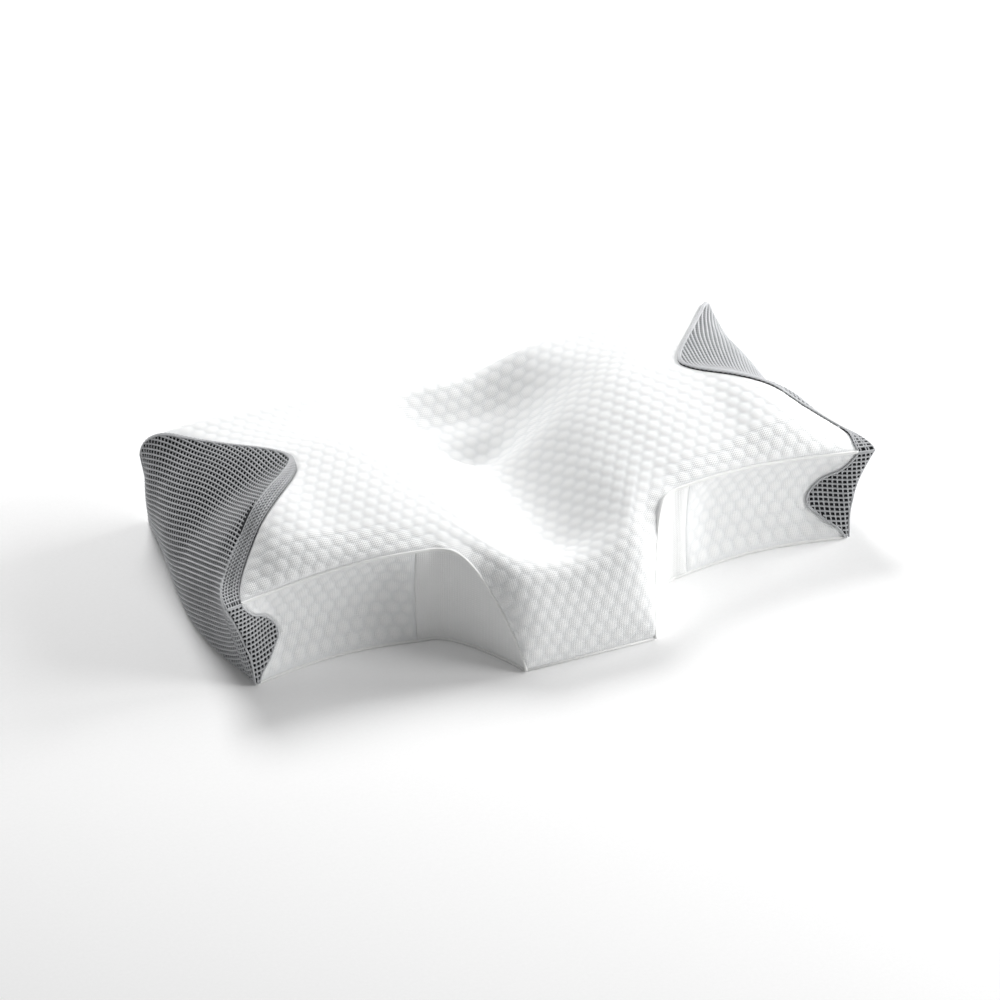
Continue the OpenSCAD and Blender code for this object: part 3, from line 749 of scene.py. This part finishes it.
def cover_top():
    """The quilted top, from the tongue's front edge up over the neck roll to the rear seam."""
    v, a = rows[None, :], columns[:, None]
    edge = np.where(a < 0, top_edge(rows, LAP_LEFT)[None], top_edge(rows, LAP_RIGHT)[None])
    grid = eased_tongue(top(np.sign(a) * spread(np.abs(a), edge) / 300, v), v)
    run = lengths(grid[..., 1:], 1)
    start = np.array([np.interp(60, y, r) for y, r in zip(grid[..., 1], run)])
    cloth = np.stack([grid[..., 0], run - start[:, None]], -1)
    return panel("quilted_top", grid, cloth, quilted_knit, True, seed=3)


def front_grid(first, last, steps, down, bunch=1.0):
    """Columns of the front between two places along it, the last of them on the mesh seam."""
    c = first + (last - first) * np.linspace(0, 1, steps + 1)[:, None] ** bunch
    s = np.linspace(0, 1, down + 1)[None, :]
    return front(spread(c, curve(LAP_S, LAP_A, s)), s)


def front_panel(name, side, grid, finish, quilted, seed):
    grid = grid if side > 0 else flipped(grid)
    return panel(name, grid, grid[..., [0, 2]], finish, quilted, seed=seed)


def slot(a):
    """Half the height of the zipper's slot at column a."""
    return GAP_HALF * (1 - ease(a, 225, 245))


def rear_panel(name, upper, steps, seed):
    c = np.abs(columns)
    seam = top(c / 300, np.ones_like(c))[:, 2]
    high, low = (seam, ZIP_Z + slot(c)) if upper else (ZIP_Z - slot(c), np.full_like(c, BASE_T))
    z = high[:, None] + (low - high)[:, None] * np.linspace(0, 1, steps + 1)[None]
    grid = rear(columns[:, None], z)
    return panel(name, grid, grid[..., [0, 2]], quilted_knit, True, seed=seed)


def mesh_grids(wide):
    """The right side's surfaces: lap on the top, side, and wrap round the front corner."""
    v = rows[::2]
    edge = top_edge(v, wide)[:, None]
    on_top = top((edge + (300 - edge) * np.linspace(0, 1, 7)[None]) / 300, v[:, None])
    side = mesh_side(v[:, None], np.linspace(0, 1, 61)[None])
    s = np.linspace(0, 1, 55)[None]
    start = curve(LAP_S, LAP_A, s)
    wrap = front(start + (300 - start) * np.linspace(0, 1, 13)[:, None], s)
    return on_top, side, wrap


def unrolled(grid):
    return np.stack([lengths(grid, 0), lengths(grid, 1)], -1)


def air_mesh(side):
    """One side's spacer fabric: a ground painted near-black as the shade inside the holes, and a net of light
    strands standing on it.
    """
    name = "left" if side < 0 else "right"
    on_top, flank, wrap = mesh_grids(LAP_LEFT if side < 0 else LAP_RIGHT)
    if side < 0:
        on_top, flank, wrap = flipped(on_top), flipped(flank), flipped(wrap)
    whole = np.concatenate([on_top[:, :-1], flank], 1)
    body, _ = panel("air_mesh_side_" + name, whole, unrolled(whole), ground, False, coarse=3, seed=5)
    corner, _ = panel("air_mesh_wrap_" + name, wrap, unrolled(wrap), ground, False, coarse=3, seed=6)
    notch = int(np.argmin(np.abs(flank[:, 0, 0])))
    lines, marks = net_lines(flank, flank[notch, 0] - flank[-1, 0])
    for extra, extra_marks in (net_lines(wrap, (1, 0, 0)), lap_lines(on_top)):
        lines, marks = lines + extra, marks + extra_marks
    hems = [hem_line(flank, "front"), hem_line(flank, "ridge"), hem_line(wrap, "front"),
            hem_line(flank, "rear")]
    lines, marks = lines + hems, marks + [True] * len(hems)
    net = grown("air_mesh_net_" + name, lines, marks, strands, Course_radius=0.00085, Wale_radius=0.0006,
                Finish=net_yarn)
    return body, corner, net


def base_outline(d, fine=2):
    """Outline of the base, d inside the cover's surface, as points in plan."""
    nose = front(half[half >= TONGUE_X][::fine], 1.0)
    flank = mesh_side(rows[1:-1][::fine * 2], 1.0)
    tail = rear(half[:0:-1][::fine], BASE_T)
    side = inside(np.concatenate([nose, flank, tail]), d, -100)[:, :2]
    return np.concatenate([side, side[::-1] * [-1, 1]])


def flat_panel(name, loops, finish):
    """A flat piece from outlines at rising heights, closed at the bottom and the top."""
    n = len(loops[0][0])
    verts = np.concatenate([np.column_stack([line, np.full(n, z)]) for line, z in loops])
    faces = [list(range(n)), [(len(loops) - 1) * n + k for k in range(n)]]
    for i in range(len(loops) - 1):
        faces += [[i * n + k, i * n + (k + 1) % n, (i + 1) * n + (k + 1) % n, (i + 1) * n + k]
                  for k in range(n)]
    return new_object(name, verts, faces, finish, verts[:, :2] * MM)


def skin(d, low):
    """The walls and top of the body, d inside the cover's surface, down to low."""
    s = np.linspace(0, 1, 13)[None]
    v, c, a = rows[::3][:, None], half[half >= TONGUE_X][::3][:, None], columns[::3][:, None]
    z0 = top(np.abs(a) / 300, np.ones_like(a))[..., 2]
    side, nose = mesh_side(v, s), front(c, s)
    grids = [top(a / 300, v.T), side, flipped(side), nose, flipped(nose), rear(a, z0 + (BASE_T - z0) * s)]
    grids = [drawn_back(inside(g, d, low), g[..., 1]) for g in grids]
    tongue = grids[0][np.abs(a[:, 0]) < TONGUE_X, 0]
    edge = np.concatenate([grids[4][::-1, -1], tongue, grids[3][:, -1], grids[1][1:-1, -1],
                           grids[5][::-1, -1], grids[2][-2:0:-1, -1]])
    return grids, edge


def skin_piece(name, layers, low, finish):
    """A solid under one skin, or a sleeve between two, open underneath."""
    verts, faces, edges = [], [], []
    for d in layers:
        grids, edge = skin(d, low)
        for g in grids + [edge[None]]:
            start = sum(len(part) for part in verts)
            if len(g) > 1:
                faces += quads(*g.shape[:2], start)
            verts.append(g.reshape(-1, 3))
        edges.append(range(start, start + len(edge)))
    if len(layers) == 1:
        faces.append(list(edges[0]))
    else:
        n = len(edges[0])
        faces += [[edges[0][k], edges[0][(k + 1) % n], edges[1][(k + 1) % n], edges[1][k]] for k in range(n)]
    verts = np.concatenate(verts)
    return new_object(name, verts, faces, finish, verts[:, :2] * MM)


def softened(name, node, width, finish):
    """A CAD piece with its sharp edges rounded, as a casting or a stamping has them."""
    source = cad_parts[node].data
    mesh = source.copy()
    obj = bpy.data.objects.new(name, mesh)
    mesh.name = name
    bpy.context.scene.collection.objects.link(obj)
    bm = bmesh.new()
    bm.from_mesh(mesh)
    bmesh.ops.remove_doubles(bm, verts=bm.verts, dist=1e-6)
    bmesh.ops.dissolve_limit(bm, angle_limit=math.radians(1), verts=bm.verts, edges=bm.edges)
    bm.to_mesh(mesh)
    bm.free()
    mesh.materials.clear()
    mesh.materials.append(finish)
    bevel = obj.modifiers.new("rounded", "BEVEL")
    bevel.width, bevel.segments = width * MM, 2
    bevel.limit_method, bevel.angle_limit = "ANGLE", math.radians(35)
    mesh.shade_flat()
    return obj


def strip(name, node, finish):
    """A flat tape in its CAD node's place, with a UV along and across it."""
    low, high = (np.array(corner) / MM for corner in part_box(node))
    steps = 100
    x = np.linspace(low[0], high[0], steps + 1)
    ring = [(low[1], low[2]), (high[1], low[2]), (high[1], high[2]), (low[1], high[2])]
    verts = np.array([(px, y, z) for px in x for y, z in ring])
    faces = [[0, 1, 2, 3], [steps * 4 + k for k in range(4)]]
    for i in range(steps):
        faces += [[i * 4 + k, i * 4 + (k + 1) % 4, i * 4 + 4 + (k + 1) % 4, i * 4 + 4 + k] for k in range(4)]
    return new_object(name, verts, faces, finish, verts[:, [0, 2]] * MM)


def settle(piece, body, node):
    """Sets what a finished piece moves with, and hides the CAD part it stands for."""
    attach(piece, body)
    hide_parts(*([node] if isinstance(node, str) else node))


# foam and liner
core_d = COVER_T + LINER_T + 2 * FABRIC_GAP
core_low = BASE_T + LINER_T + 2 * BASE_GAP
core = skin_piece("memory_foam_core", [core_d], core_low, foam)
settle(core, "pillow", "foam_core")
liner_low = BASE_T + LINER_T + BASE_GAP
sleeve = skin_piece("liner_sleeve", [COVER_T + FABRIC_GAP, COVER_T + FABRIC_GAP + LINER_T], liner_low, jersey)
settle(sleeve, "pillow", "liner_body")
under = base_outline(COVER_T + FABRIC_GAP)
under = drawn_back(under, under[:, 1])
sole = flat_panel("liner_sole", [(under, BASE_T + BASE_GAP), (under, liner_low)], jersey)
settle(sole, "pillow", "liner_base")

# quilted and plain knit
top_panel, top_face = cover_top()
settle(top_panel, "pillow", "cover_top")
faces_of = {}
for side, word in ((-1, "left"), (1, "right")):
    name = "quilted_front_" + word
    wing, faces_of[word] = front_panel(name, side, front_grid(ARCH_END, 300, 108, 54), quilted_knit, True,
                                       11 + side)
    settle(wing, "pillow", "front_band_" + word)
    name = "plain_gusset_" + word
    arch, faces_of["gusset_" + word] = front_panel(name, side, front_grid(TONGUE_X, ARCH_END, 48, 54, 1.6),
                                                   plain_knit, False, 21 + side)
    settle(arch, "pillow", "arch_gusset_" + word)
    body, corner, net = air_mesh(side)
    for piece in (body, corner, net):
        settle(piece, "pillow", "mesh_side_" + word)
for upper, word, steps in ((True, "upper", 24), (False, "lower", 18)):
    name = "quilted_rear_" + word
    band, faces_of[word] = rear_panel(name, upper, steps, 31 + steps)
    settle(band, "pillow", "rear_band_" + word)

# underside
outline = base_outline(0)
base = flat_panel("knit_base", [(base_outline(0.9), 0), (base_outline(0.2), 0.5), (outline, BASE_T)],
                  base_knit)
settle(base, "pillow", "cover_base")

# piping
welt_columns = half[half >= TONGUE_X]
for side, word in ((-1, "left"), (1, "right")):
    line = front(spread(welt_columns, LAP_A[0]), 0.0)
    piping = tube("piping_" + word, line if side > 0 else flipped(line), WELT_R, welt_yarn)
    settle(piping, "pillow", "front_welt_" + word)
edge_line = base_outline(0.9)
edge_line = np.column_stack([edge_line, np.full(len(edge_line), BINDING_R)])
binding = tube("base_binding", edge_line, BINDING_R, welt_yarn, closed=True)
settle(binding, "pillow", "base_welt")

# zipper
for word, way in (("upper", 1), ("lower", -1)):
    tape = strip("woven_tape_" + word, "zipper_tape_" + word, woven_tape)
    settle(tape, "pillow", "zipper_tape_" + word)
    low, high = (np.array(corner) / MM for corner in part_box("zipper_coil_" + word))
    mid = (low + high) / 2
    shift = 0 if way > 0 else 0.75
    height = mid[2] - way * 0.5
    line = [(low[0] + 0.75 + shift, mid[1], height), (high[0] - 0.75 - 0.75 + shift, mid[1], height)]
    coil = grown("coil_teeth_" + word, [line], [True], stitches, Pitch=0.0015, Size=(0.0036, 0.0019, 0.0011),
                 Finish=coil_nylon)
    settle(coil, "pillow", "zipper_coil_" + word)
    stop = softened("crimped_top_stop_" + word, "zipper_top_stop_" + word, 0.4, zinc)
    settle(stop, "pillow", "zipper_top_stop_" + word)
stop = softened("crimped_bottom_stop", "zipper_bottom_stop", 0.4, zinc)
settle(stop, "pillow", "zipper_bottom_stop")
slider = softened("slider_casting", "zipper_slider", 0.3, zinc)
settle(slider, "slider", "zipper_slider")
pull = softened("pull_tab", "zipper_pull", 0.25, zinc)
settle(pull, "pull", "zipper_pull")

# stitching beside the seams
rows_of_stitches = [top_face[1], top_face[-2], top_face[:, -2], faces_of["upper"][:, 1]]
for word in ("left", "right"):
    rows_of_stitches.append(faces_of[word][-2])
rows_of_stitches += [faces_of["upper"][90:-90, -2], faces_of["lower"][90:-90, 1]]
stitching = grown("seam_stitching", rows_of_stitches, [True] * len(rows_of_stitches), stitches,
                  Pitch=0.0032, Size=(0.00055, 0.00055, 0.0024), Finish=thread)
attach(stitching, "pillow")


# ================= floor, light and camera =================
def plain_floor():
    """A seamless pale sweep, matt as studio paper is."""
    paper, tree, bsdf = material("studio_paper", Roughness=0.9, IOR=1.4)
    place = add(tree, "ShaderNodeTexCoord").outputs["Object"]
    grain = add(tree, "ShaderNodeTexNoise", {"Vector": place, "Scale": 300.0}).outputs[0]
    colour = blend(tree, grain, "#f8f8f8", "#fdfdfd")
    tree.links.new(colour, bsdf.inputs["Base Color"])
    mesh = bpy.data.meshes.new("floor")
    mesh.from_pydata([(-8, -8, 0), (8, -8, 0), (8, 8, 0), (-8, 8, 0)], [], [[0, 1, 2, 3]])
    mesh.materials.append(paper)
    floor = bpy.data.objects.new("floor", mesh)
    bpy.context.scene.collection.objects.link(floor)


def area_light(name, place, aim, size, power):
    data = bpy.data.lights.new(name, "AREA")
    data.shape, data.size, data.energy = "DISK", size, power
    lamp = bpy.data.objects.new(name, data)
    lamp.location = place
    lamp.rotation_euler = (Vector(aim) - Vector(place)).to_track_quat("-Z", "Y").to_euler()
    bpy.context.scene.collection.objects.link(lamp)


plain_floor()
area_light("rear_softbox", (0.0, 1.8, 1.8), (0, 0, 0.05), 1.2, 50)
area_light("front_softbox", (2.0, -1.3, 1.1), (0, 0, 0.05), 1.2, 35)
area_light("side_softbox", (2.2, 0.0, 0.9), (0, 0, 0.05), 1.0, 34)
world = bpy.data.worlds.new("studio")
world.use_nodes = True
world.node_tree.nodes["Background"].inputs[0].default_value = (1, 1, 1, 1)
world.node_tree.nodes["Background"].inputs[1].default_value = 0.24
bpy.context.scene.world = world
bpy.context.scene.view_settings.view_transform = "Standard"

AZIMUTH, ELEVATION, DISTANCE = math.radians(-24), math.radians(33.4), 10.0
FRAME_WIDTH, SENSOR_MM = 0.8485, 36.0      # metres across the picture at the pillow
right = Vector((math.cos(AZIMUTH), math.sin(AZIMUTH), 0))
backward = Vector((math.sin(AZIMUTH) * math.cos(ELEVATION), -math.cos(AZIMUTH) * math.cos(ELEVATION),
                   math.sin(ELEVATION)))
upward = backward.cross(right)
wing_front = Vector((0, WING_Y * MM, 0))
aim = wing_front - right * 0.0454 + upward * 0.0929
lens = bpy.data.cameras.new("camera")
lens.sensor_width = SENSOR_MM
lens.lens = DISTANCE / FRAME_WIDTH * SENSOR_MM
lens.clip_end = 100
camera = bpy.data.objects.new("camera", lens)
camera.location = aim + backward * DISTANCE
camera.rotation_euler = backward.to_track_quat("Z", "Y").to_euler()
bpy.context.scene.collection.objects.link(camera)
bpy.context.scene.camera = camera
